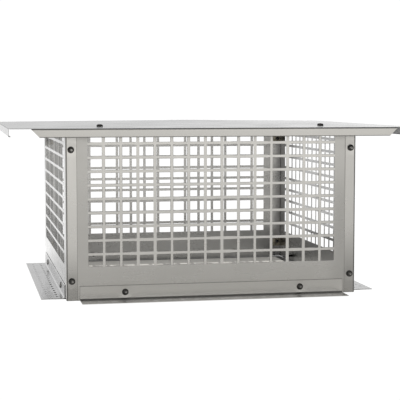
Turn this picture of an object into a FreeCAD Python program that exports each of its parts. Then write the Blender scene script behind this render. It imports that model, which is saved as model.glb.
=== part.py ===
import FreeCAD, Part
import math
import os
from FreeCAD import Placement, Rotation, Vector

# Chimney cap in folded stainless sheet: four punched walls, a wide lid on top, an angle along each foot.
# Millimetres, +Z up. The origin is the middle of the footprint on the roof surface, and the front faces -Y.

# Driving dimensions of the sheet and the box
sheet = 0.6
bend_inside = 0.6
bend_facets = 3
body_side = 432.0
lid_edge_height = 248.4
panel_side_clearance = 0.2
corner_strip_width = 15.9
top_flange_width = 25.4
lid_crease_clearance = 4.0

# Punched pattern, the same in every wall
opening_width = 20.3
opening_height = 15.6
column_pitch = 24.8
row_pitch = 19.9
lowest_opening_height = 48.5
least_side_margin = 28.0
least_top_margin = 3.0

# Lid
side_overhang = 80.0
front_overhang = 42.0
crown_rise = 7.0
lid_flange_drop = 12.7
lid_flange_setback = 30.0
lid_lip_width = 3.5

# Base flanges
base_flange_length = 393.0
base_flange_width = 35.0
base_flange_height = 20.3

# Fasteners
screw_shank_diameter = 4.8
screw_head_diameter = 9.6
screw_head_height = 3.1
screw_length = 12.7
screw_hole_clearance = 0.4
head_sides = 8
shank_sides = 6
spring_nut_width = 14.0
spring_nut_height = 18.0
spring_nut_sheet = 1.0
spring_nut_hole_clearance = 0.1
seat_clearance = 0.02
corner_screw_heights = (28.0, 217.0)
base_screw_height = 10.6
base_screw_inset = 85.0
lid_screw_spacing = 330.0
lid_screw_inset = 14.0

# Sizes that follow from the driving ones
bend_outside = bend_inside + sheet
body_half = body_side / 2
grille_face = body_half - sheet
grille_half_length = grille_face - bend_inside - panel_side_clearance
lid_half_x = body_half + side_overhang
lid_half_y = body_half + front_overhang
bend_room = 2 * bend_outside
crown_half_x = lid_half_x - bend_room
crown_half_y = lid_half_y - bend_room
front_slope = crown_rise / crown_half_y
side_slope = crown_rise / crown_half_x
column_room = 2 * (grille_half_length - least_side_margin) + column_pitch - opening_width
row_room = lid_edge_height - sheet - lowest_opening_height - least_top_margin + row_pitch - opening_height
opening_columns = int(column_room / column_pitch)
opening_rows = int(row_room / row_pitch)
screw_hole_diameter = screw_shank_diameter + screw_hole_clearance
two_sheets = 2 * sheet

# Turns about the vertical axis that carry a part from the front to each side
SIDE_TURNS = {"front": 0, "right": 90, "back": 180, "left": 270}
# Stands a section drawn flat upright: its x runs inward from the front, its y runs up, and it extrudes along X
STAND_UP = Rotation(Vector(0, 1, 0), Vector(0, 0, 1), Vector(1, 0, 0), "XYZ")
UP = Vector(0, 0, 1)


def lid_underside(slope, crown_half, distance):
    """Height of the lid's underside at a distance from the middle, on the face with this slope."""
    return lid_edge_height - sheet + slope * (crown_half - distance)


def turned(shape, side):
    """Copy of a shape made for the front, turned to another side of the box."""
    result = shape.copy()
    result.rotate(Vector(), UP, SIDE_TURNS[side])
    return result


def folded_section(corners):
    """Face of bent sheet. The corners follow its outside, with the sheet on their left."""
    points = [corners[0]]
    for before, corner, after in zip(corners, corners[1:], corners[2:]):
        back = (before - corner).normalize()
        ahead = (after - corner).normalize()
        half_angle = back.getAngle(ahead) / 2
        reach = bend_outside / math.tan(half_angle)
        centre = corner + (back + ahead).normalize() * (bend_outside / math.sin(half_angle))
        arm = corner + back * reach - centre
        fold = Rotation(arm, corner + ahead * reach - centre)
        for step in range(bend_facets + 1):
            swing = Rotation(fold.Axis, math.degrees(fold.Angle) * step / bend_facets)
            points.append(centre + swing.multVec(arm))
    points.append(corners[-1])
    return Part.makePolygon(points).makeOffset2D(-sheet, 2, True, True)


def front_run(section, half_length):
    """Extrude a section drawn in depth and height along X, with the box's front face at depth zero."""
    solid = section.extrude(Vector(0, 0, 2 * half_length))
    solid.Placement = Placement(Vector(-half_length, -body_half, 0), STAND_UP)
    return solid


def plan_prism(points, low, high):
    """Solid with these corners in plan, between two heights."""
    corners = [Vector(x, y, low) for x, y in points]
    return Part.Face(Part.makePolygon(corners + corners[:1])).extrude(Vector(0, 0, high - low))


def block(low, high):
    """Box between two opposite corners."""
    return Part.makeBox(high.x - low.x, high.y - low.y, high.z - low.z, low)


def prism(flat_distance, sides, low, high):
    """Upright prism on the Z axis with this distance across its flats, between two heights."""
    step = 2 * math.pi / sides
    corner_distance = flat_distance / 2 / math.cos(step / 2)
    points = [(corner_distance * math.cos(n * step), corner_distance * math.sin(n * step)) for n in range(sides)]
    return plan_prism(points, low, high)


def fused(first, *others):
    """One solid out of touching solids, without the seams between them."""
    return first.fuse(list(others)).removeSplitter().Solids[0]


def mitred_flange_limit(face_depth, half_length):
    """Space that a wall and its top flange may fill in plan: the flange's ends are cut at 45 degrees."""
    outer_y = -body_half + face_depth
    fold_y = outer_y + bend_outside
    inner_y = outer_y + top_flange_width
    inner_half = half_length - (inner_y - fold_y)
    right = [(half_length, outer_y), (half_length, fold_y), (inner_half, inner_y)]
    left = [(-x, y) for x, y in reversed(right)]
    return plan_prism(right + left, 0, lid_edge_height + crown_rise)


def wall_openings():
    """The punched openings of the front wall, as one compound of cutters."""
    first_x = -((opening_columns - 1) * column_pitch + opening_width) / 2
    cutters = []
    for column in range(opening_columns):
        for row in range(opening_rows):
            x = first_x + column * column_pitch
            z = lowest_opening_height + row * row_pitch
            low = Vector(x, -body_half - sheet, z)
            high = Vector(x + opening_width, -body_half + bend_room, z + opening_height)
            cutters.append(block(low, high))
    return Part.makeCompound(cutters)


def grille_panel():
    """Front wall: a flat punched sheet with one flange folded inward under the lid."""
    depth = body_half - grille_face
    top = lid_underside(front_slope, crown_half_y, grille_face)
    section = folded_section([
        Vector(depth + top_flange_width, top + front_slope * top_flange_width),
        Vector(depth, top),
        Vector(depth, 0),
    ])
    panel = front_run(section, grille_half_length)
    panel = panel.common(mitred_flange_limit(depth, grille_half_length))
    return panel.cut(wall_openings())


def corner_panel():
    """Side wall, drawn as a front: punched like the others, with a strip folded round each corner."""
    plan = folded_section([
        Vector(-body_half, -body_half + corner_strip_width),
        Vector(-body_half, -body_half),
        Vector(body_half, -body_half),
        Vector(body_half, -body_half + corner_strip_width),
    ])
    corner_top = lid_underside(front_slope, crown_half_y, body_half)
    wall_top = lid_underside(side_slope, crown_half_x, body_half)
    # The lid's creases pass over the wall here, so the flange and the higher wall end short of them
    crease = body_half / crown_half_x * crown_half_y
    raised_half = crease - lid_crease_clearance
    join = corner_top - bend_room
    walls = plan.extrude(Vector(0, 0, corner_top))
    notch_low = Vector(-raised_half, -body_half - sheet, join)
    notch_high = Vector(raised_half, -body_half + bend_room, corner_top + sheet)
    walls = walls.cut(block(notch_low, notch_high))
    section = folded_section([
        Vector(top_flange_width, wall_top + side_slope * top_flange_width),
        Vector(0, wall_top),
        Vector(0, join),
    ])
    raised = front_run(section, raised_half).common(mitred_flange_limit(0, raised_half))
    return fused(walls, raised).cut(wall_openings())


def crown(base_height):
    """Low pyramid that the lid's diagonal creases make, from its base up."""
    corners = [(-1, -1), (1, -1), (1, 1), (-1, 1)]
    rim = [Vector(x * crown_half_x, y * crown_half_y, base_height) for x, y in corners]
    apex = Vector(0, 0, base_height + crown_rise)
    faces = [Part.Face(Part.makePolygon(rim + rim[:1]))]
    for first, second in zip(rim, rim[1:] + rim[:1]):
        faces.append(Part.Face(Part.makePolygon([first, second, apex, first])))
    solid = Part.makeSolid(Part.makeShell(faces))
    if solid.Volume < 0:
        solid.reverse()
    return solid


def lid_flange(half_length, edge_distance):
    """Turned-down edge along the front of the lid, with a lip at its foot and ends cut at 45 degrees."""
    depth = body_half - edge_distance
    foot = lid_edge_height - lid_flange_drop
    fold = lid_edge_height - bend_outside
    section = folded_section([
        Vector(depth + bend_room, lid_edge_height),
        Vector(depth, lid_edge_height),
        Vector(depth, foot),
        Vector(depth + lid_lip_width, foot),
    ])
    flange = front_run(section, half_length)
    short_half = half_length - (fold - foot)
    right = [(short_half, foot), (half_length, fold), (half_length, lid_edge_height)]
    left = [(-x, z) for x, z in reversed(right)]
    corners = [Vector(x, -edge_distance - sheet, z) for x, z in right + left]
    trim = Part.Face(Part.makePolygon(corners + corners[:1])).extrude(Vector(0, lid_lip_width + two_sheets, 0))
    return flange.common(trim)


def lid():
    """Cross-creased sheet with a turned-down flange along each edge, cut back from the corners."""
    half = Vector(lid_half_x, lid_half_y, 0)
    plate_low = Vector(-half.x, -half.y, lid_edge_height - sheet)
    plate_high = Vector(half.x, half.y, lid_edge_height)
    plate = block(plate_low, plate_high).fuse(crown(lid_edge_height))
    plate = plate.cut(crown(lid_edge_height - sheet))
    flanges = []
    for side, length_half, edge in (
        ("front", lid_half_x, lid_half_y),
        ("right", lid_half_y, lid_half_x),
        ("back", lid_half_x, lid_half_y),
        ("left", lid_half_y, lid_half_x),
    ):
        run_half = length_half - lid_flange_setback
        room_low = Vector(-run_half, -edge - sheet, lid_edge_height - two_sheets)
        room_high = Vector(run_half, -edge + bend_room, lid_edge_height + sheet)
        plate = plate.cut(turned(block(room_low, room_high), side))
        flanges.append(turned(lid_flange(run_half, edge), side))
    return fused(plate, *flanges)


def base_flange(wall_face):
    """Angle along the front foot: one leg against the wall, the other flat on the roof."""
    depth = body_half - wall_face
    section = folded_section([
        Vector(depth - base_flange_width, 0),
        Vector(depth, 0),
        Vector(depth, base_flange_height),
    ])
    return front_run(section, base_flange_length / 2)


def screw():
    """Pan-head screw on the Z axis in plain many-sided form, its head standing on the plane z = 0."""
    head = prism(screw_head_diameter, head_sides, 0, screw_head_height)
    shank = prism(screw_shank_diameter, shank_sides, -screw_length, 0)
    return fused(head, shank)


def spring_nut():
    """Flat rectangular nut pressed on the screw's shank, against the inside of the two sheets."""
    top = -two_sheets - seat_clearance
    low = Vector(-spring_nut_width / 2, -spring_nut_height / 2, top - spring_nut_sheet)
    high = Vector(spring_nut_width / 2, spring_nut_height / 2, top)
    hole_width = screw_shank_diameter + 2 * spring_nut_hole_clearance
    return block(low, high).cut(prism(hole_width, shank_sides, low.z - spring_nut_sheet, 0))


def placed(shape, place):
    """Copy of a shape at a place."""
    result = shape.copy()
    result.Placement = place.multiply(result.Placement)
    return result


def facing(side):
    """Turn that points the Z axis out of a side of the box, with the shape's Y axis left upright."""
    outward = Rotation(Vector(1, 0, 0), 90)
    return Rotation(UP, SIDE_TURNS[side]).multiply(outward)


def corner_places(x_sign, side):
    """Where the two screws of one corner stand, on the strip that folds over the front or back wall."""
    y_sign = -1 if side == "front" else 1
    x = x_sign * (body_half - corner_strip_width / 2)
    return [Placement(Vector(x, y_sign * body_half, z), facing(side)) for z in corner_screw_heights]


def base_places(side, wall_face):
    """Where the two screws of one base flange stand, on the outside of its upright leg."""
    turn = Rotation(UP, SIDE_TURNS[side])
    places = []
    for x in (base_screw_inset - body_half, body_half - base_screw_inset):
        point = turn.multVec(Vector(x, -wall_face - sheet, base_screw_height))
        places.append(Placement(point, facing(side)))
    return places


def lid_places():
    """Where the two screws along the front of the lid stand, square to its sloping sheet."""
    y = -body_half + lid_screw_inset
    z = lid_underside(front_slope, crown_half_y, -y) + sheet
    tilt = Rotation(Vector(1, 0, 0), math.degrees(math.atan(front_slope)))
    return [Placement(Vector(x, y, z), tilt) for x in (-lid_screw_spacing / 2, lid_screw_spacing / 2)]


def at_places(shape, places):
    """Separate copies of one shape, kept together in one compound."""
    return Part.makeCompound([placed(shape, place) for place in places])


def drilled(shape, places):
    """A sheet part with a screw hole at each place."""
    drill = prism(screw_hole_diameter, shank_sides, -screw_length / 2, screw_length / 2)
    return shape.cut(at_places(drill, places)).Solids[0]


def export(name, shape):
    """Write one named part."""
    shape.exportStep("parts/" + name + ".step")


wall_faces = {"front": grille_face, "back": grille_face, "left": body_half, "right": body_half}
corners = [(name, sign, side) for side in ("front", "back") for name, sign in (("left", -1), ("right", 1))]
corner_screws = {(side, name): corner_places(sign, side) for name, sign, side in corners}
base_screws = {side: base_places(side, face) for side, face in wall_faces.items()}

os.makedirs("parts", exist_ok=True)

export("lid", drilled(lid(), lid_places()))
export("lid_screws", at_places(screw(), lid_places()))

grille = grille_panel()
for side in ("front", "back"):
    holes = base_screws[side] + corner_screws[side, "left"] + corner_screws[side, "right"]
    if side == "front":
        holes = holes + lid_places()
    export(side + "_panel", drilled(turned(grille, side), holes))

corner_wall = corner_panel()
for side in ("left", "right"):
    holes = base_screws[side] + corner_screws["front", side] + corner_screws["back", side]
    export(side + "_panel", drilled(turned(corner_wall, side), holes))

for side, face in wall_faces.items():
    places = base_screws[side]
    export(side + "_base_flange", drilled(turned(base_flange(face), side), places))
    export(side + "_base_screws", at_places(screw(), places))

for (side, name), places in corner_screws.items():
    export(side + "_" + name + "_corner_screws", at_places(screw(), places))
    export(side + "_" + name + "_corner_nuts", at_places(spring_nut(), places))
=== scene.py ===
import math

import bpy
from mathutils import Matrix, Vector


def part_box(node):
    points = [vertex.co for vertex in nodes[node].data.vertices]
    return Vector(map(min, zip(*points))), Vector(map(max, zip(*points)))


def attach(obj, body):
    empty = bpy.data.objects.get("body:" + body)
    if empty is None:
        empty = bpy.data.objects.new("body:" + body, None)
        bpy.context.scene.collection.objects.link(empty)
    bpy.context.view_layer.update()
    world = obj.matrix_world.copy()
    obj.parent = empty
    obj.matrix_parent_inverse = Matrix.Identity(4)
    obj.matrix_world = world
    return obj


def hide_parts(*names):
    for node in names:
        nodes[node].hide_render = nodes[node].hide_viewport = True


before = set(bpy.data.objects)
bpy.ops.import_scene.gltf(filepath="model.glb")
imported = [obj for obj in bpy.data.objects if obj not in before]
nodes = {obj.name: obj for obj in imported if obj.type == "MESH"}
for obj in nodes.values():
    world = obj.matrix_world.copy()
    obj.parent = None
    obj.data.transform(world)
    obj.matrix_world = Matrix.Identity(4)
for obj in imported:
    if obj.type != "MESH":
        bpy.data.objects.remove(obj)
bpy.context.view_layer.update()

# Chimney cap in folded stainless sheet, dressed for its picture. Metres, +Z up, the front faces -Y.
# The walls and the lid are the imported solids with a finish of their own. The base flanges are made again with
# their rows of nail slots, and the screws and spring nuts with their real forms.

mm = 0.001

# Base flanges
sheet = 0.6 * mm
fold_radius = 3.2 * mm
fold_segments = 6
slot_length = 7.0 * mm
slot_width = 3.0 * mm
slot_corner = 0.42 * slot_width
slot_corner_segments = 3
slot_pitch = 20.0 * mm
inner_row_slots = 19
outer_row_slots = 18
inner_row_distance = 10.2 * mm
outer_row_distance = 24.0 * mm
screw_hole_radius = 2.6 * mm
screw_hole_sides = 24
cutter_depth = 6 * sheet

# Screws. The head's profile: heights and radii as shares of its own, from the seat up
head_radius = 4.8 * mm
head_height = 3.1 * mm
head_sides = 32
head_foot = 0.97
head_profile = ((0.10, 1.00), (0.30, 1.00), (0.55, 0.96), (0.78, 0.85), (0.93, 0.66), (1.00, 0.36))
recess_reach = 2.6 * mm
recess_width = 1.0 * mm
recess_depth = 1.9 * mm
recess_taper = 0.35
shank_radius = 1.9 * mm
shank_sides = 16
shank_overlap = 0.1 * mm
screw_length = 12.7 * mm
point_length = 4.0 * mm
thread_pitch = 1.4 * mm
thread_size = 0.62 * mm
thread_lift = 0.12 * mm
thread_start = 0.7 * point_length
thread_clearance = 0.8 * mm
thread_steps = 14
lid_slope = math.atan(7.0 / 255.6)

# Spring nuts
nut_width = 14.0 * mm
nut_height = 18.0 * mm
nut_sheet = 1.0 * mm
nut_corner = 1.5 * mm
nut_corner_segments = 3
nut_margin = 1.2 * mm
nut_rise = 1.6 * mm
nut_rise_foot = (0.76, 0.82, 1.0)
nut_rise_top = (0.6, 0.5, 1.0)
nut_hole_radius = 1.9 * mm
nut_slit_radius = 0.5 * mm
nut_slit_length = 6.0 * mm
nut_drill_depth = 12 * nut_sheet
nut_drill_sides = 16

# Degrees of turn past which an edge is shown sharp, and nearness at which two places are taken as one
sheet_crease = 35
screw_crease = 40
touch = 0.05 * mm

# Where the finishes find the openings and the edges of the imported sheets
column_pitch = 24.8 * mm
row_pitch = 19.9 * mm
opening_width = 20.3 * mm
opening_height = 15.6 * mm
columns = 15
rows = 10
lowest_row_middle = 56.3 * mm
punched_length = (columns - 1) * column_pitch + opening_width
punched_height = (rows - 1) * row_pitch + opening_height
punched_middle = lowest_row_middle + (rows - 1) * row_pitch / 2
body_half = 216.0 * mm
wall_face = 215.4 * mm
strip_edge = 200.1 * mm
corner_line = 1.4 * mm
lid_edge_height = 248.4 * mm
lid_bottom = 235.7 * mm
lid_half_x = 296.0 * mm
lid_half_y = 258.0 * mm
flange_top = 20.3 * mm
flange_half_length = 196.5 * mm

# Sheet steel: reflectances of its tones, from painted shade lines to the painted lit strips. steel_dark and
# steel_light are the grain's own tones (steel_light also makes the painted highlights round the wall screws);
# the others are painted shade, painted light and painted highlights
steel_shade_line = 0.04
steel_crease_shade = 0.16
steel_lid_inner_shade = 0.22
steel_wall_inner_shade = 0.46
steel_dim_shade = 0.50
steel_dark = 0.56
steel_light = 0.65
steel_foot_light = 0.71
steel_burnish_and_highlight = 0.76
steel_bright = 1.0
# The bars' tone on each side, painted light
steel_bars_lit = {"front": 0.76, "back": 0.76, "left": 0.48, "right": 0.70}
# The corner strips' tone on each side, painted light; the left one also paints the side walls' foot lighter
steel_strip_lit = {"left": 0.80, "right": 0.70}

# Its rolled grain: lumps to the metre, along and across the run, and how much each pattern counts
line_lumps = (4.0, 260.0)
streak_lumps = (3.0, 60.0)
wave_lumps = 6.0
smudge_lumps = 22.0
smudge_tone, streak_tone, line_tone = 0.55, 0.35, 0.12
smudge_gloss, streak_gloss, line_gloss = 0.12, 0.06, 0.04
lid_gloss = 0.22
flange_gloss = 0.24
wall_gloss = 0.28
wave_depth = 0.8 * mm
line_depth = 0.001 * mm

# Its edges, folds and dents, with the painted shade lines, painted glints and painted highlights along them
shear_width = 0.6 * mm
# Cut edges round the openings: bright in places where burnished, partly a painted glint
burnish_glint_lumps = (37.0, 37.0, 4.0)
burnish_glint_shift = (0.4, 0.2, 0.1)
burnish_glint_cut = (0.58, 0.46)
# Painted shade lines along edges, folds and the ends of parts
painted_line_width = 0.8 * mm
shade_line_depth = 0.85
corner_shade_depth = 0.7
edge_shade_depth = 0.5
flange_top_shade_depth = 0.3
roll_width = 2.4 * mm
roll_slope = 1.5
corner_glint = (0.4 * mm, 0.9 * mm)
dent_radius = 13.0 * mm
dent_depth = 0.35 * mm
# Painted highlight round each screw
highlight_radius = 9.0 * mm
highlight_share = 0.8
# Painted shade in the fold of the front and back flanges
crease_height = 1.6 * mm
crease_reach = 1.5 * mm
foot_reach = 1.6 * flange_top

# Where a painted light or shade tone is full and where it has faded out, up or across the sheet
strip_light_fade = {"left": (90 * mm, 5 * mm), "right": (110 * mm, 25 * mm)}
lit_foot_fade = (flange_top, flange_top + row_pitch)
shaded_upper_fade = (flange_top + 2 * row_pitch, flange_top + row_pitch)
# Lower right of the front wall, painted darker as shade
shade_patch_across = (195 * mm, 165 * mm)
shade_patch_up = (130 * mm, 200 * mm)
shade_patch_share = 0.8

# Nickel-coated screws and phosphated nuts. The left base screws' lighter tones and the spot beside each recess
# are painted light
coat_lumps = 700.0
coat_tones = (0.04, 0.20)
coat_tones_left_lit = (0.35, 0.60)
coat_metal = 0.95
coat_gloss = 0.16
coat_depth = 0.01 * mm
worn_gloss = 0.15
# Painted highlight beside each screw's recess
highlight_place = (0.8 * mm, -0.5 * mm, head_height - recess_depth / 2)
highlight_reach = 2.4 * mm
phosphate_grain = 1200.0
phosphate_blotch = 230.0
blotch_cut = (0.6, 0.4)
phosphate_light = (0.60, 0.24)
phosphate_dark = (0.34, 0.24)
phosphate_metal = 0.7
phosphate_gloss = 0.38
grain_gloss = 0.2
phosphate_depth = 0.02 * mm

# The studio. Each light: heading in degrees clockwise from behind the object, strength, tightness, and the
# heights of the unit sphere where it starts to fade and ends
wall_lights = (
    (169, 1.22, 5, 0.04, 0.36),
    (310, 1.10, 3, 0.30, 0.70),
    (25, 1.00, 20, 0.06, 0.34),
    (115, 0.30, 12, 0.10, 0.50),
    (0, 0.34, 1, 0.30, 0.70),
)
surround_light = 0.08
ceiling_light = 0.30
ceiling_start = (0.2, 0.6)
backdrop_light = 1.05
front_warmth = 0.09
warmth_fade = (-0.3, 0.3)

# The floor. Its glow grows from the front to beside and behind the object. Inside the box it is shaded, with a
# row of light patches, and under the flanges it is dark but for a little light that leaks in
floor_size = 12.0
floor_level = -0.4 * mm
floor_white = 0.78
floor_dark = 0.45
floor_glow = 0.24
floor_glow_beside = 0.30
floor_glow_behind = 0.42
floor_warmth = 0.14
beside_fade = (-0.2, 0.1)
behind_fade = (0.25, 0.45)
shade_half = 203 * mm
box_half = 215 * mm
flange_half = 196 * mm
flange_reach = 250 * mm
shade_edge = 1 * mm
shade_glow = 0.16
shade_warmth = 0.12
patch_row = 146 * mm
patch_row_reach = 10 * mm
patch_fade = (8.5 * mm, 10.5 * mm)
patch_lumps = 60.0
patch_cut = (0.52, 0.36)
patch_glow = 0.5
leak_glow = 0.40
leak_fade = (238 * mm, 229 * mm)
leak_back_fade = (20 * mm, -70 * mm)
leak_back_share = 0.7

# The camera of the photograph
sensor_width = 36.0
lens_length = 110.15
near_clip = 0.05
camera_place = (-0.36574, -1.96061, 0.29105)
camera_aim = (0.19343, 0.97757, -0.08330)

SIDE_TURNS = {"front": 0, "right": 90, "back": 180, "left": 270}


# ---- modelling helpers

def deselect():
    """Leave nothing selected, so that the next operator acts only on its own piece."""
    bpy.ops.object.select_all(action="DESELECT")


def named(name):
    """Give the primitive that was just added its name."""
    piece = bpy.context.object
    piece.name = name
    piece.data.name = name
    return piece


def pick(piece):
    """Make one piece the selected and active one."""
    deselect()
    piece.select_set(True)
    bpy.context.view_layer.objects.active = piece


def settle(piece):
    """Put a piece's place into its mesh, with its object at the origin."""
    pick(piece)
    bpy.ops.object.transform_apply(location=True, rotation=True, scale=True)


def apply_modifier(piece, kind, **settings):
    """Add a modifier to a piece and apply it."""
    pick(piece)
    modifier = piece.modifiers.new(kind.title(), kind)
    for key, value in settings.items():
        setattr(modifier, key, value)
    bpy.ops.object.modifier_apply(modifier=modifier.name)


def select_where(piece, domain, test):
    """In edit mode, select only the vertices, edges or faces whose middle passes a test."""
    bpy.ops.object.mode_set(mode="EDIT")
    bpy.ops.mesh.select_mode(type={"vertices": "VERT", "edges": "EDGE", "polygons": "FACE"}[domain])
    bpy.ops.object.mode_set(mode="OBJECT")
    mesh = piece.data
    for group in (mesh.vertices, mesh.edges, mesh.polygons):
        for item in group:
            item.select = False
    for item in getattr(mesh, domain):
        if domain == "vertices":
            middle = item.co
        elif domain == "edges":
            middle = sum((mesh.vertices[n].co for n in item.vertices), Vector()) / 2
        else:
            middle = item.center
        item.select = test(middle, item)
    bpy.ops.object.mode_set(mode="EDIT")


def merged(name, pieces):
    """Join pieces into one mesh."""
    deselect()
    for piece in pieces:
        piece.select_set(True)
    bpy.context.view_layer.objects.active = pieces[0]
    if len(pieces) > 1:
        bpy.ops.object.join()
    piece = bpy.context.object
    piece.name = name
    piece.data.name = name
    return piece


def cut_away(piece, cutter):
    """Cut one piece out of another and remove the cutter."""
    apply_modifier(piece, "BOOLEAN", operation="DIFFERENCE", object=cutter, solver="EXACT")
    bpy.data.objects.remove(cutter)


def copy_at(piece, place):
    """Copy of a piece with a mesh of its own, moved by a matrix."""
    twin = piece.copy()
    twin.data = piece.data.copy()
    bpy.context.collection.objects.link(twin)
    twin.data.transform(place)
    return twin


def rounded(piece, angle=sheet_crease):
    """Smooth the shading over all but the sharp edges, and keep the large faces flat."""
    pick(piece)
    bpy.ops.object.shade_smooth_by_angle(angle=math.radians(angle))
    apply_modifier(piece, "WEIGHTED_NORMAL", weight=100, keep_sharp=True)


def screw_points(*names):
    """Where the screws of these nodes go through the sheet, from the boxes of their separate solids."""
    points = []
    for name in names:
        mesh = nodes[name].data
        middle = sum((v.co for v in mesh.vertices), Vector()) / len(mesh.vertices)
        first = [v.co for v in mesh.vertices if (v.co - middle).dot(mesh.vertices[0].co - middle) > 0]
        second = [v.co for v in mesh.vertices if (v.co - middle).dot(mesh.vertices[0].co - middle) <= 0]
        points += [tuple(sum(group, Vector()) / len(group)) for group in (first, second) if group]
    return points


# ---- base flanges with their nail slots

def slot_row(count, distance):
    """A row of round-ended cutters along X, centred, at a distance in front of the fold."""
    deselect()
    bpy.ops.mesh.primitive_cube_add(size=1, location=(0, 0, 0))
    cutter = named("slot_row")
    cutter.scale = (slot_length, slot_width, cutter_depth)
    cutter.location = (-(count - 1) * slot_pitch / 2, -distance, 0)
    settle(cutter)
    select_where(cutter, "edges", lambda middle, edge: abs(middle.z) < sheet)
    bpy.ops.mesh.bevel(offset=slot_corner, segments=slot_corner_segments, affect="EDGES")
    bpy.ops.object.mode_set(mode="OBJECT")
    apply_modifier(
        cutter, "ARRAY", count=count, use_relative_offset=False, use_constant_offset=True,
        constant_offset_displace=(slot_pitch, 0, 0),
    )
    return cutter


def base_flange(side):
    """Angle along one foot: a flat leg with two staggered rows of slots, and an upright leg on the wall."""
    turn = Matrix.Rotation(math.radians(SIDE_TURNS[side]), 4, "Z")
    back = turn.inverted()
    corners = [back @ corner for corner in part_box(side + "_base_flange")]
    half_length = max(abs(corner.x) for corner in corners)
    outer = min(corner.y for corner in corners)
    inner = max(corner.y for corner in corners)
    top = max(corner.z for corner in corners)
    outside = inner - sheet
    deselect()
    bpy.ops.mesh.primitive_plane_add(size=1, location=(0, (outer + outside) / 2, 0))
    leg = named(side + "_slotted_flange")
    leg.scale = (2 * half_length, outside - outer, 1)
    settle(leg)
    select_where(leg, "edges", lambda middle, edge: middle.y > outside - sheet)
    bpy.ops.mesh.extrude_region_move(TRANSFORM_OT_translate={"value": (0, 0, top)})
    select_where(leg, "edges", lambda middle, edge: middle.y > outside - sheet and middle.z < sheet
                 and abs(middle.x) < sheet)
    bpy.ops.mesh.bevel(offset=fold_radius - sheet, segments=fold_segments, affect="EDGES")
    # Split across at each slot's middle, so that no face has a hole in it
    for step in range(1 - inner_row_slots, inner_row_slots):
        bpy.ops.mesh.select_all(action="SELECT")
        bpy.ops.mesh.bisect(plane_co=(step * slot_pitch / 2, 0, 0), plane_no=(1, 0, 0))
    bpy.ops.mesh.select_all(action="SELECT")
    bpy.ops.mesh.normals_make_consistent(inside=False)
    bpy.ops.object.mode_set(mode="OBJECT")
    level = next(face for face in leg.data.polygons if abs(face.normal.z) > 0.9)
    apply_modifier(leg, "SOLIDIFY", thickness=sheet, offset=1.0 if level.normal.z > 0 else -1.0,
                   use_even_offset=True)
    for count, distance in ((inner_row_slots, inner_row_distance), (outer_row_slots, outer_row_distance)):
        cutter = slot_row(count, distance)
        cutter.data.transform(Matrix.Translation((0, outside, 0)))
        cut_away(leg, cutter)
    for point in screw_points(side + "_base_screws"):
        deselect()
        bpy.ops.mesh.primitive_cylinder_add(
            vertices=screw_hole_sides, radius=screw_hole_radius, depth=cutter_depth,
            rotation=(math.pi / 2, 0, 0), location=back @ Vector(point),
        )
        drill = named("drill")
        drill.location.y = outside + sheet / 2
        settle(drill)
        cut_away(leg, drill)
    leg.data.transform(turn)
    rounded(leg)
    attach(leg, "root")
    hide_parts(side + "_base_flange")
    return leg


# ---- screws

def pan_head_screw():
    """Tapping screw on the Z axis, its pan head with a cross recess standing on the plane z = 0."""
    deselect()
    bpy.ops.mesh.primitive_circle_add(vertices=head_sides, radius=head_foot * head_radius, fill_type="NGON")
    head = named("screw_head")
    bpy.ops.object.mode_set(mode="EDIT")
    rise, last = 0.0, head_foot
    for height, radius in head_profile:
        step = height * head_height - rise
        bpy.ops.mesh.extrude_region_move(TRANSFORM_OT_translate={"value": (0, 0, step)})
        bpy.ops.transform.resize(value=(radius / last, radius / last, 1))
        rise += step
        last = radius
    bpy.ops.mesh.select_all(action="SELECT")
    bpy.ops.mesh.normals_make_consistent(inside=False)
    bpy.ops.object.mode_set(mode="OBJECT")
    for quarter in (0, 1):
        deselect()
        bpy.ops.mesh.primitive_cube_add(size=1, location=(0, 0, head_height))
        wing = named("recess_wing")
        wing.scale = (2 * recess_reach, recess_width, 2 * recess_depth)
        wing.rotation_euler.z = quarter * math.pi / 2
        settle(wing)
        select_where(wing, "vertices", lambda middle, vertex: middle.z < head_height)
        bpy.ops.transform.resize(value=(recess_taper, recess_taper, 1), center_override=(0, 0, 0))
        bpy.ops.object.mode_set(mode="OBJECT")
        cut_away(head, wing)
    deselect()
    shank_length = screw_length - point_length
    bpy.ops.mesh.primitive_cylinder_add(
        vertices=shank_sides, radius=shank_radius, depth=shank_length,
        location=(0, 0, shank_overlap - shank_length / 2),
    )
    shank = named("screw_shank")
    settle(shank)
    tip_z = min(v.co.z for v in shank.data.vertices)
    select_where(shank, "polygons", lambda middle, face: middle.z < tip_z + touch)
    bpy.ops.mesh.extrude_region_move(TRANSFORM_OT_translate={"value": (0, 0, -screw_length - tip_z)})
    bpy.ops.mesh.merge(type="CENTER")
    bpy.ops.object.mode_set(mode="OBJECT")
    deselect()
    bpy.ops.mesh.primitive_circle_add(
        vertices=3, radius=thread_size, fill_type="NOTHING", rotation=(math.pi / 2, 0, 0),
        location=(shank_radius + thread_lift, 0, thread_start - screw_length),
    )
    thread = named("screw_thread")
    thread.rotation_euler.y = math.pi / 2
    settle(thread)
    turns = int((screw_length - thread_start - thread_clearance) / thread_pitch)
    apply_modifier(
        thread, "SCREW", axis="Z", angle=2 * math.pi, screw_offset=thread_pitch, iterations=turns,
        steps=thread_steps, render_steps=thread_steps, use_merge_vertices=True, use_normal_calculate=True,
    )
    pick(thread)
    bpy.ops.object.mode_set(mode="EDIT")
    bpy.ops.mesh.select_all(action="SELECT")
    bpy.ops.mesh.fill_holes(sides=4)
    bpy.ops.mesh.normals_make_consistent(inside=False)
    bpy.ops.object.mode_set(mode="OBJECT")
    screw = merged("pan_head_screw", [head, shank, thread])
    rounded(screw, screw_crease)
    return screw


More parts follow.
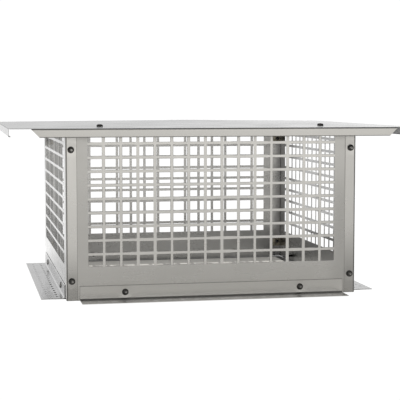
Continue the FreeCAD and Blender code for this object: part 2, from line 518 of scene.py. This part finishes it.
def spring_nut():
    """Flat spring nut on the plane z = 0, with its raised and split thread impression round the Z axis."""
    deselect()
    bpy.ops.mesh.primitive_cube_add(size=1, location=(0, 0, nut_sheet / 2))
    nut = named("spring_nut")
    nut.scale = (nut_width, nut_height, nut_sheet)
    settle(nut)
    select_where(nut, "edges", lambda middle, edge: abs(abs(middle.x) - nut_width / 2) < touch
                 and abs(abs(middle.y) - nut_height / 2) < touch)
    bpy.ops.mesh.bevel(offset=nut_corner, segments=nut_corner_segments, affect="EDGES")
    select_where(nut, "polygons", lambda middle, face: face.normal.z > 0.9)
    bpy.ops.mesh.inset(thickness=nut_margin)
    bpy.ops.transform.resize(value=nut_rise_foot)
    bpy.ops.mesh.extrude_region_move(TRANSFORM_OT_translate={"value": (0, 0, nut_rise)})
    bpy.ops.transform.resize(value=nut_rise_top)
    bpy.ops.object.mode_set(mode="OBJECT")
    for radius, length in ((nut_hole_radius, 0.0), (nut_slit_radius, nut_slit_length)):
        deselect()
        bpy.ops.mesh.primitive_cylinder_add(vertices=nut_drill_sides, radius=radius, depth=nut_drill_depth)
        drill = named("drill")
        settle(drill)
        if length:
            select_where(drill, "vertices", lambda middle, vertex: middle.x > touch)
            bpy.ops.transform.translate(value=(length, 0, 0))
            bpy.ops.object.mode_set(mode="OBJECT")
            drill.data.transform(Matrix.Translation((-length / 2, 0, 0)))
        cut_away(nut, drill)
    rounded(nut)
    return nut


def nut_places(node_name):
    """Where the two nuts of a node lie: flat against the wall's inner face, their raised side inward."""
    low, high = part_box(node_name)
    inward = 1 if high.y < 0 else -1
    face = low.y if inward > 0 else high.y
    turn = Matrix.Rotation(-inward * math.pi / 2, 4, "X")
    return [Matrix.Translation((point[0], face, point[2])) @ turn for point in screw_points(node_name)]


def screw_places(node_name):
    """Where the two screws of a node stand: the plane under each head, turned the way the head faces."""
    low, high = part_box(node_name)
    places = []
    for point in screw_points(node_name):
        if node_name == "lid_screws":
            tilt = Matrix.Rotation(lid_slope, 4, "X")
            head_top = tilt @ Vector((0, 0, head_height))
            foot = Vector((point[0], (low.y + high.y) / 2, high.z)) - Vector((0, 0, head_top.z))
            places.append(Matrix.Translation(foot) @ tilt)
            continue
        side = node_name.split("_")[0]
        turn = Matrix.Rotation(math.radians(SIDE_TURNS[side]), 4, "Z")
        outward = turn @ Vector((0, -1, 0))
        reach = max(low.dot(outward), high.dot(outward)) - head_height
        foot = Vector(point) - outward * Vector(point).dot(outward) + outward * reach
        places.append(Matrix.Translation(foot) @ turn @ Matrix.Rotation(math.pi / 2, 4, "X"))
    return places


# ---- finishes

def grey(level, warmth=0.0):
    """A grey, a little warmer where asked."""
    return (level, level * (1 - 0.3 * warmth), level * (1 - warmth), 1.0)


class Pattern:
    """A socket of a node tree. Sums and products of patterns add their Math nodes."""

    def __init__(self, work, socket):
        self.work = work
        self.socket = socket

    def maths(self, operation, *values):
        return self.work.node("ShaderNodeMath", dict(enumerate(values)), operation=operation)

    def __add__(self, other):
        return self.maths("ADD", self, other)

    def __radd__(self, other):
        return self.maths("ADD", other, self)

    def __sub__(self, other):
        return self.maths("SUBTRACT", self, other)

    def __rsub__(self, other):
        return self.maths("SUBTRACT", other, self)

    def __mul__(self, other):
        return self.maths("MULTIPLY", self, other)

    def __rmul__(self, other):
        return self.maths("MULTIPLY", other, self)

    def __pow__(self, other):
        return self.maths("POWER", self, other)

    def __abs__(self):
        return self.maths("ABSOLUTE", self)

    def at_least(self, other):
        return self.maths("MAXIMUM", self, other)

    def at_most(self, other):
        return self.maths("MINIMUM", self, other)

    def from_nearest(self, pitch):
        """Distance from the nearest multiple of a pitch."""
        return self.maths("PINGPONG", self, pitch / 2)

    def fall(self, full, none):
        """1 at one value of the pattern, passing softly to 0 at the other."""
        return self.work.node(
            "ShaderNodeMapRange",
            {"Value": self, "From Min": full, "From Max": none, "To Min": 1.0, "To Max": 0.0},
            interpolation_type="SMOOTHSTEP",
        )

    def stripe(self, place, reach):
        """1 along a line, falling to 0 at this distance on both sides."""
        return abs(self - place).fall(0.0, reach)


class NodeWork:
    """The nodes of a material or of the studio's surroundings, in the making."""

    def __init__(self, owner):
        owner.use_nodes = True
        self.tree = owner.node_tree
        self.tree.nodes.clear()

    def node(self, kind, values, output=0, **settings):
        """Add a node: its settings first, then the values or links of its sockets."""
        node = self.tree.nodes.new(kind)
        for key, value in settings.items():
            setattr(node, key, value)
        for key, value in values.items():
            if isinstance(value, Pattern):
                self.tree.links.new(value.socket, node.inputs[key])
            else:
                node.inputs[key].default_value = value
        return Pattern(self, node.outputs[output]) if node.outputs else None

    def axes(self, vector):
        """The three parts of a vector."""
        return [self.node("ShaderNodeSeparateXYZ", {0: vector}, output=axis) for axis in "XYZ"]

    def mix(self, share, first, second):
        """Colour between two colours."""
        return self.node(
            "ShaderNodeMix", {0: share, 6: first, 7: second}, output=2, data_type="RGBA", clamp_factor=True,
        )

    def blend(self, share, first, second):
        """Surface between two surfaces."""
        return self.node("ShaderNodeMixShader", {0: share, 1: first, 2: second})


class Finish(NodeWork):
    """A material on the piece's own coordinates."""

    def __init__(self, name):
        self.material = bpy.data.materials.new(name)
        super().__init__(self.material)
        self.place = self.node("ShaderNodeTexCoord", {}, output="Object")

    def noise(self, stretch, detail=2.0, roughness=0.5, at=(0, 0, 0)):
        """Soft noise from 0 to 1, with this many lumps to the metre along each axis."""
        place = self.node("ShaderNodeMapping", {"Vector": self.place, "Scale": stretch, "Location": at})
        return self.node(
            "ShaderNodeTexNoise", {"Vector": place, "Scale": 1.0, "Detail": detail, "Roughness": roughness},
        )

    def near(self, point, reach):
        """1 at a point, falling to 0 at a distance."""
        gap = self.node("ShaderNodeVectorMath", {0: self.place, 1: point}, output="Value", operation="DISTANCE")
        return gap.fall(0.0, reach)

    def bump(self, height, depth, under=None):
        """Normal of a surface raised by a pattern of this depth in metres, over another normal."""
        values = {"Height": height, "Distance": depth, "Strength": 1.0}
        if under is not None:
            values["Normal"] = under
        return self.node("ShaderNodeBump", values, output="Normal")

    def surface(self, **values):
        """End the finish in one Principled surface."""
        shader = self.node("ShaderNodeBsdfPrincipled", {k.replace("_", " "): v for k, v in values.items()})
        self.node("ShaderNodeOutputMaterial", {"Surface": shader})
        return self.material


class Steel(Finish):
    """Satin mill-finish stainless sheet: rolling lines along its run, slow waves and smudges."""

    def __init__(self, name, run, gloss):
        super().__init__(name)
        self.x, self.y, self.z = self.axes(self.place)
        self.along = self.x if run == "X" else self.y
        lines = self.noise([line_lumps[axis != run] for axis in "XYZ"])
        streaks = self.noise([streak_lumps[axis != run] for axis in "XYZ"], detail=1.0)
        waves = self.noise([wave_lumps] * 3, detail=1.0)
        smudges = self.noise([smudge_lumps] * 3, detail=3.0)
        marks = [smudges - 0.5, streaks - 0.5, lines - 0.5]
        shade = 0.5 + marks[0] * smudge_tone + marks[1] * streak_tone + marks[2] * line_tone
        self.colour = self.mix(shade, grey(steel_dark), grey(steel_light))
        self.gloss = gloss + marks[0] * smudge_gloss + marks[1] * streak_gloss + marks[2] * line_gloss
        self.height = waves * wave_depth + (lines + streaks) * line_depth

    def dented(self, points, highlight_tone):
        """A shallow dent round each screw, with a painted highlight beside its head."""
        for point in points:
            self.height = self.height - self.near(point, dent_radius) * dent_depth
            self.tinted(self.near(point, highlight_radius) * highlight_share, highlight_tone)

    def rolled(self, distance):
        """Soft roll of the sheet into a fold, over the last millimetres before it."""
        share = (1.0 - distance * (1 / roll_width)).at_least(0.0).at_most(1.0)
        self.height = self.height - share ** 2.0 * (roll_slope * roll_width / 2)

    def seam(self, distance, where=1.0, depth=shade_line_depth, reach=painted_line_width):
        """A painted shade line: a dark line where a sheet's edge or fold lies, standing for the shade in the
        gap or fold.
        """
        self.colour = self.mix(distance.stripe(0.0, reach) * where * depth, self.colour, grey(steel_shade_line))

    def tinted(self, where, level):
        """A lighter or darker part of the sheet."""
        self.colour = self.mix(where, self.colour, grey(level))

    def punched(self, bars):
        """Bars painted in a tone of each side's own, brighter on the front, back and right and darker on the
        left (painted light), and the sheared edges round the openings painted dark as shade, with bright bits
        where burnished that are partly a painted glint.
        """
        across = self.along.from_nearest(column_pitch)
        upward = (self.z - lowest_row_middle).from_nearest(row_pitch)
        in_columns = abs(self.along).fall(punched_length / 2, punched_length / 2 + shear_width)
        in_rows = abs(self.z - punched_middle).fall(punched_height / 2, punched_height / 2 + shear_width)
        grille = in_columns * in_rows
        upright = across.stripe(opening_width / 2, shear_width) * upward.fall(
            opening_height / 2, opening_height / 2 + shear_width)
        level = upward.stripe(opening_height / 2, shear_width) * across.fall(
            opening_width / 2, opening_width / 2 + shear_width)
        burnish_glint = self.noise(burnish_glint_lumps, detail=1.0, at=burnish_glint_shift).fall(*burnish_glint_cut)
        # Cut edges painted dark as shade, and bright in places where burnished, partly a painted glint
        edge_colour = self.mix(burnish_glint, grey(steel_shade_line), grey(steel_burnish_and_highlight))
        self.tinted(grille, bars)
        self.colour = self.mix(upright.at_least(level) * grille, self.colour, edge_colour)

    def sheet(self):
        """The finished sheet."""
        normal = self.bump(self.height, 1.0)
        return self.surface(Base_Color=self.colour, Metallic=1.0, Roughness=self.gloss, Normal=normal)


def lid_steel():
    """The lid: rolled into its folds, with a painted shade line along each fold edge and along the flanges'
    lower edge, its inner faces painted darker as shade, and a painted highlight round each screw.
    """
    steel = Steel("lid_steel", "X", lid_gloss)
    # Painted highlight round each screw
    steel.dented(screw_points("lid_screws"), steel_burnish_and_highlight)
    steel.rolled((lid_edge_height - steel.z).at_least(0.0))
    # Painted shade line along the fold at the lid's edge
    steel.seam(steel.z - lid_edge_height + painted_line_width)
    # Painted shade: the inner faces of the flanges, below the fold, darker
    inward_x = abs(steel.x).fall(lid_half_x - sheet, lid_half_x)
    inward_y = abs(steel.y).fall(lid_half_y - sheet, lid_half_y)
    below_top = steel.z.fall(lid_edge_height - fold_radius, lid_edge_height - sheet)
    steel.tinted(inward_x * inward_y * below_top, steel_lid_inner_shade)
    # Painted shade line along the flanges' lower edge
    steel.seam(steel.z - lid_bottom)
    return steel.sheet()


def wall_steel(side):
    """A front or back wall, with painted shade lines on its outer face where the corner strips and the base
    flange end on it, a painted highlight round each screw, and on the front its lower right painted darker as
    shade.
    """
    steel = Steel(side + "_wall_steel", "X", wall_gloss)
    screws = screw_points(side + "_base_screws", side + "_left_corner_screws", side + "_right_corner_screws")
    # Painted highlight round each screw
    steel.dented(screws, steel_light)
    steel.punched(steel_bars_lit[side])
    outside = abs(steel.y).fall(wall_face, wall_face - sheet / 2)
    # Painted shade lines along the corner strips' edges, on the outer face only
    steel.seam(abs(steel.x) - strip_edge, outside)
    if side == "front":
        # Painted shade: the lower right of the front wall darker
        patch = steel.x.fall(*shade_patch_across) * steel.z.fall(*shade_patch_up)
        steel.tinted(patch * shade_patch_share, steel_dim_shade)
    # Painted shade line along the top of the base flange's upright leg
    in_length = abs(steel.x).fall(flange_half_length, flange_half_length + painted_line_width)
    steel.seam(steel.z - flange_top, outside * in_length, edge_shade_depth)
    return steel.sheet()


def strip_steel(side):
    """A side wall with its corner strips, which roll round the corners. Its foot is painted lighter as light,
    on the left the sheet above the foot is painted darker as shade, and its inner face is painted dark as
    shade. The strips are painted lighter as light, with a painted shade line and a painted glint along each
    corner, and there is a painted highlight round each screw.
    """
    steel = Steel(side + "_wall_steel", "Y", wall_gloss)
    corners = [end + side + "_corner_screws" for end in ("front_", "back_")]
    # Painted highlight round each screw
    steel.dented(screw_points(side + "_base_screws", *corners), steel_burnish_and_highlight)
    # Painted light: the foot of the side wall lighter
    steel.tinted(steel.z.fall(*lit_foot_fade), steel_strip_lit["left"])
    if side == "left":
        # Painted shade: the left wall darker above its foot
        steel.tinted(steel.z.fall(*shaded_upper_fade), steel_dim_shade)
    steel.punched(steel_bars_lit[side])
    # Painted shade: the side wall's inner face darker
    steel.tinted(abs(steel.x).fall(wall_face, wall_face + sheet / 2), steel_wall_inner_shade)
    on_strip = abs(steel.y).fall(body_half, body_half - sheet)
    from_corner = 2 * body_half - abs(steel.x) - abs(steel.y)
    # Painted light: the corner strips lighter, fading out toward the floor
    steel.tinted(on_strip * steel.z.fall(*strip_light_fade[side]), steel_strip_lit[side])
    steel.rolled(from_corner)
    # Painted shade line along each corner, and a painted glint right at its edge
    steel.seam(from_corner - corner_line, on_strip, corner_shade_depth, corner_line)
    steel.tinted(from_corner.fall(*corner_glint), steel_bright)
    return steel.sheet()


def flange_steel(side):
    """A base flange, with painted highlights round its screws and painted shade lines at its ends. The front
    and back ones are painted dark in the fold as shade and painted lighter toward it from above as light, with
    a painted shade line along their top edge; the left and right ones have a painted highlight along their top
    edge.
    """
    crosswise = side in ("front", "back")
    steel = Steel(side + "_flange_steel", "X" if crosswise else "Y", flange_gloss)
    # Painted highlights round the screws
    steel.dented(screw_points(side + "_base_screws"), steel_bright if side == "left" else steel_burnish_and_highlight)
    # Painted shade lines at the flange's ends
    steel.seam(abs(steel.along) - flange_half_length, depth=edge_shade_depth)
    if crosswise:
        # Painted light: lighter toward the floor
        steel.tinted(steel.z.fall(0.0, foot_reach), steel_foot_light)
        # Painted shade line along the top edge
        steel.seam(steel.z - flange_top, depth=flange_top_shade_depth)
        # Painted shade in the fold
        steel.tinted(steel.z.stripe(crease_height, crease_reach), steel_crease_shade)
    else:
        # Painted highlight along the top edge
        steel.tinted(steel.z.stripe(flange_top, painted_line_width), steel_bright)
    return steel.sheet()


def screw_steel(node_name):
    """Dark nickel-coated screws: glossy, with wear in the coat, and a painted highlight beside the recess; the
    left base screws are a lighter copy, painted as lit.
    """
    finish = Finish(node_name + "_steel")
    worn = finish.noise([coat_lumps] * 3) ** 2.0
    # Painted light: the left base screws in lighter tones
    unworn_tone, worn_tone = coat_tones_left_lit if node_name == "left_base_screws" else coat_tones
    colour = finish.mix(worn, grey(unworn_tone), grey(worn_tone))
    # Painted highlight beside each recess
    for place in screw_places(node_name):
        highlight_spot = place @ Vector(highlight_place)
        colour = finish.mix(finish.near(highlight_spot, highlight_reach), colour, grey(steel_bright))
    normal = finish.bump(worn, coat_depth)
    gloss = coat_gloss + worn * worn_gloss
    return finish.surface(Base_Color=colour, Metallic=coat_metal, Roughness=gloss, Normal=normal)


def spring_steel():
    """Phosphate-coated spring steel: matte dark brown grey, mottled, with a fine grain."""
    finish = Finish("phosphated_spring_steel")
    grain = finish.noise([phosphate_grain] * 3, detail=3.0, roughness=0.7)
    blotch = finish.noise([phosphate_blotch] * 3).fall(*blotch_cut)
    colour = finish.mix(blotch, grey(*phosphate_light), grey(*phosphate_dark))
    normal = finish.bump(grain, phosphate_depth)
    gloss = phosphate_gloss + grain * grain_gloss
    return finish.surface(Base_Color=colour, Metallic=phosphate_metal, Roughness=gloss, Normal=normal)


def dress(node_name, material):
    """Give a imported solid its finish."""
    slots = nodes[node_name].data.materials
    slots.clear()
    slots.append(material)


def hardware(name, pattern, places, material):
    """Replace a node's fasteners with copies of a detailed one."""
    dress(name, material)
    pair = merged(name + "_detailed", [copy_at(pattern, place) for place in places])
    pair.data.materials.append(material)
    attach(pair, "root")
    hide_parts(name)


dress("lid", lid_steel())
for side in ("front", "back"):
    dress(side + "_panel", wall_steel(side))
for side in ("left", "right"):
    dress(side + "_panel", strip_steel(side))
for side in SIDE_TURNS:
    flange_finish = flange_steel(side)
    dress(side + "_base_flange", flange_finish)
    base_flange(side).data.materials.append(flange_finish)

dark_nut = spring_steel()
screw = pan_head_screw()
nut = spring_nut()
for name in sorted(nodes):
    if name.endswith("screws"):
        hardware(name, screw, screw_places(name), screw_steel(name))
    elif name.endswith("nuts"):
        hardware(name, nut, nut_places(name), dark_nut)
for pattern in (screw, nut):
    bpy.data.objects.remove(pattern)


# ---- floor, light and camera

def studio_floor():
    """Pale sweep that shows white, shaded inside the box and under its flanges, and lit brighter behind."""
    deselect()
    bpy.ops.mesh.primitive_plane_add(size=floor_size, location=(0, 0, floor_level))
    floor = named("studio_floor")
    settle(floor)
    finish = Finish("studio_floor_white")
    x, y, _ = finish.axes(finish.place)

    def inside(half_x, half_y):
        """1 within these half widths of the middle."""
        return abs(x).fall(half_x, half_x + shade_edge) * abs(y).fall(half_y, half_y + shade_edge)

    def glowing(level, colour):
        """Glow of this level, from 0 to 1, and this colour."""
        tone = finish.mix(level, grey(0.0), colour)
        return finish.node("ShaderNodeEmission", {"Color": tone, "Strength": 1.0})

    def lit(base, glow):
        """A matte floor with a glow of its own."""
        return finish.node("ShaderNodeAddShader", {0: base, 1: glow})

    matte = finish.node("ShaderNodeBsdfDiffuse", {"Color": grey(floor_white)})
    dark = finish.node("ShaderNodeBsdfDiffuse", {"Color": grey(floor_dark)})
    white = finish.node("ShaderNodeEmission", {"Color": grey(1.0), "Strength": backdrop_light})

    beside = 1.0 - y.fall(*beside_fade)
    behind = 1.0 - y.fall(*behind_fade)
    tint = finish.mix(beside, grey(1.0, floor_warmth), grey(1.0))
    around = lit(matte, glowing(floor_glow + beside * floor_glow_beside + behind * floor_glow_behind, tint))
    from_camera = finish.node("ShaderNodeLightPath", {}, output="Is Camera Ray")
    open_floor = finish.blend(from_camera, around, white)

    in_box = inside(box_half, box_half)
    under_edge = abs(x).at_least(abs(y)).fall(*leak_fade)
    toward_back = y.fall(*leak_back_fade) * leak_back_share
    leak = under_edge.at_least(toward_back) * (1.0 - in_box) * leak_glow
    under_flange = inside(flange_half, flange_reach).at_least(inside(flange_reach, flange_half))
    covered = finish.blend(under_flange.at_least(in_box), open_floor, lit(dark, glowing(leak, grey(1.0))))

    in_patch = y.stripe(patch_row, patch_row_reach) * x.from_nearest(column_pitch).fall(*patch_fade)
    patchy = finish.noise([patch_lumps] * 3).fall(*patch_cut)
    shaded = lit(matte, glowing(shade_glow + in_patch * patchy * patch_glow, grey(1.0, shade_warmth)))
    surface = finish.blend(inside(shade_half, shade_half), covered, shaded)
    finish.node("ShaderNodeOutputMaterial", {"Surface": surface})
    floor.data.materials.append(finish.material)


def studio_light(scene):
    """White walls round the horizon, brightest in front and to the left, under a dim ceiling."""
    world = bpy.data.worlds.new("studio")
    scene.world = world
    work = NodeWork(world)
    way = work.node("ShaderNodeTexCoord", {}, output="Generated")
    x, y, z = work.axes(way)
    level = surround_light + ceiling_light * (1.0 - z.fall(*ceiling_start))
    for heading, strength, tightness, fade, end in wall_lights:
        across = math.sin(math.radians(heading))
        ahead = math.cos(math.radians(heading))
        facing = (x * across + y * ahead).at_least(0.0)
        level = level + facing ** tightness * z.fall(fade, end) * strength
    tint = work.mix(y.fall(*warmth_fade), grey(1.0), grey(1.0, front_warmth))
    around = work.node("ShaderNodeBackground", {"Color": tint, "Strength": level})
    backdrop = work.node("ShaderNodeBackground", {"Color": grey(1.0), "Strength": backdrop_light})
    from_camera = work.node("ShaderNodeLightPath", {}, output="Is Camera Ray")
    work.node("ShaderNodeOutputWorld", {"Surface": work.blend(from_camera, around, backdrop)})


def studio_camera(scene):
    """The camera of the photograph."""
    lens = bpy.data.cameras.new("camera")
    camera = bpy.data.objects.new("camera", lens)
    bpy.context.collection.objects.link(camera)
    lens.sensor_width = sensor_width
    lens.lens = lens_length
    lens.clip_start = near_clip
    camera.location = camera_place
    camera.rotation_euler = Vector(camera_aim).to_track_quat("-Z", "Y").to_euler()
    scene.camera = camera


scene = bpy.context.scene
studio_floor()
studio_light(scene)
studio_camera(scene)
scene.view_settings.view_transform = "Standard"
